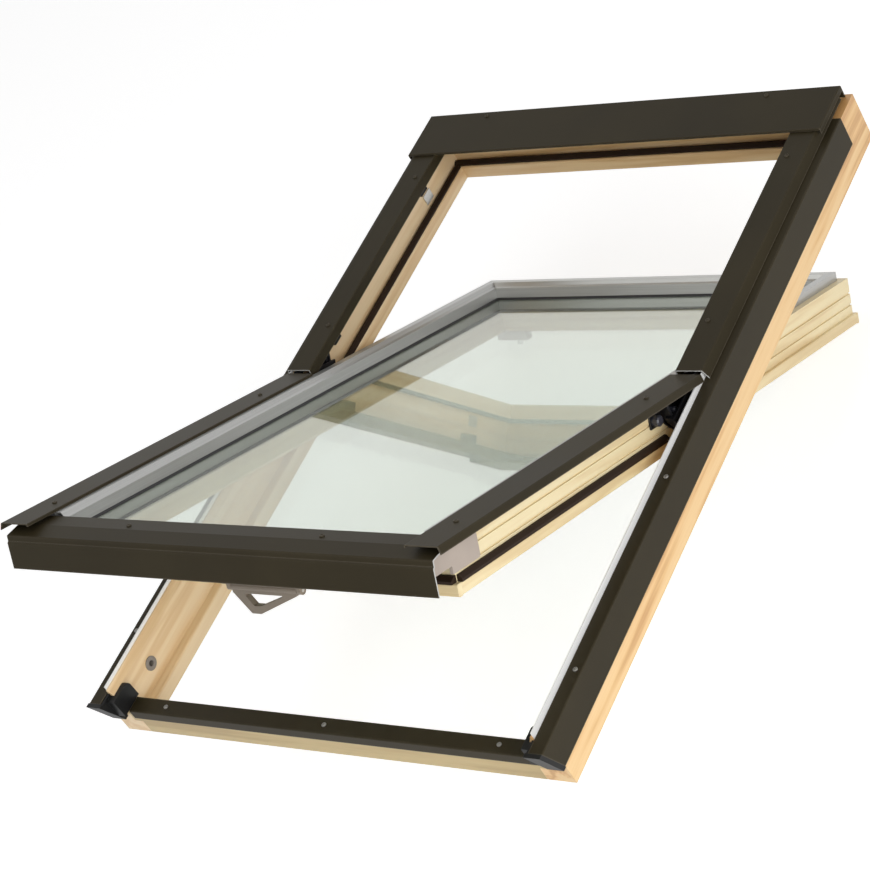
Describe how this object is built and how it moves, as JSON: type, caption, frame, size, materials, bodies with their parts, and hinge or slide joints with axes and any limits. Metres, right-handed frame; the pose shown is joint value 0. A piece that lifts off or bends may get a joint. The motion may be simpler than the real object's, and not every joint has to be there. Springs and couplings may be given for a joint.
{
  "type": "roof skylight",
  "caption": "Centre-pivot wooden roof window with dark folded-sheet cladding; the double-glazed sash turns on arc hinges and latches at the sill.",
  "frame": {"origin": "middle of the sill's room-side face, where the frame lies on the roof's inner lining plane", "axes": "+X across to the right seen from outside, +Y up the roof slope, +Z out of the roof; the window lies in its own plane and is turned to the roof's pitch where it is used"},
  "size_m": [0.783, 1.208, 0.6668],
  "materials": {
    "frame_wood": "clear lacquered pine",
    "sash_wood": "clear lacquered pine",
    "dark_cladding": "grey-brown powder coat, satin",
    "silver_rail": "bright mill aluminium",
    "grey_profile": "grey anodised aluminium",
    "black_plastic": "black moulded plastic",
    "taupe_plastic": "taupe moulded plastic",
    "gasket_rubber": "dark brown rubber",
    "black_steel": "black coated steel",
    "zinc_steel": "zinc plated steel",
    "clear_glass": "coated clear glass"
  },
  "bodies": {
    "frame": {"left_jamb": "frame_wood", "right_jamb": "frame_wood", "head": "frame_wood", "sill": "frame_wood", "left_side_cladding": "dark_cladding", "right_side_cladding": "dark_cladding", "left_upper_cover": "dark_cladding", "right_upper_cover": "dark_cladding", "hood": "dark_cladding", "sill_cladding": "dark_cladding", "left_drain_rail": "silver_rail", "right_drain_rail": "silver_rail", "left_corner_cap": "black_plastic", "right_corner_cap": "black_plastic", "cover_clips": "black_plastic", "left_frame_gasket": "gasket_rubber", "right_frame_gasket": "gasket_rubber", "head_gasket": "gasket_rubber", "left_hinge_frame_half": "black_steel", "right_hinge_frame_half": "black_steel", "cleaning_bush": "zinc_steel", "keeper_plate": "zinc_steel", "strike_plate": "zinc_steel", "hood_screws": "zinc_steel", "cover_screws": "zinc_steel", "side_cladding_screws": "zinc_steel", "sill_screws": "zinc_steel"},
    "sash": {"bolt_guide": "taupe_plastic", "bottom_cover": "dark_cladding", "bottom_cover_screws": "zinc_steel", "bottom_profile": "grey_profile", "bottom_rail": "sash_wood", "bottom_sash_gasket": "gasket_rubber", "glazing_tape": "gasket_rubber", "handle_base": "taupe_plastic", "handle_pin": "zinc_steel", "hinge_knobs": "black_plastic", "inner_pane": "clear_glass", "left_end_piece": "taupe_plastic", "left_glazing_profile": "grey_profile", "left_hinge_sash_half": "black_steel", "left_sash_cladding": "dark_cladding", "left_sash_gasket": "gasket_rubber", "left_stile": "sash_wood", "outer_pane": "clear_glass", "right_end_piece": "taupe_plastic", "right_glazing_profile": "grey_profile", "right_hinge_sash_half": "black_steel", "right_sash_cladding": "dark_cladding", "right_sash_gasket": "gasket_rubber", "right_stile": "sash_wood", "sash_cladding_screws": "zinc_steel", "sash_clips": "black_plastic", "spacer_bars": "grey_profile", "top_glazing_profile": "grey_profile", "top_rail": "sash_wood"},
    "handle": {"handle_loop": "taupe_plastic"},
    "latch": {"latch_bolt": "zinc_steel"},
    "cleaning_bolt": {"barrel_bolt": "zinc_steel"}
  },
  "joints": [
    {"name": "sash_pivot", "type": "hinge", "parent": "frame", "child": "sash", "pos_m": [0, 0.5912, 0.107], "axis": [-1, 0, 0], "range_deg": [-29, 133]},
    {"name": "handle_fold", "type": "hinge", "parent": "sash", "child": "handle", "pos_m": [0, 0.05136, 0.28447], "axis": [-1, 0, 0], "range_deg": [-80, 0]},
    {"name": "latch_slide", "type": "slide", "parent": "sash", "child": "latch", "axis": [0, -0.8746, 0.4848], "range_m": [0, 0.012]},
    {"name": "bolt_slide", "type": "slide", "parent": "sash", "child": "cleaning_bolt", "axis": [-1, 0, 0], "range_m": [0, 0.026]}
  ],
  "couplings": [
    {"joint": "latch_slide", "follows": "handle_fold", "m_per_rad": -0.0085944}
  ]
}
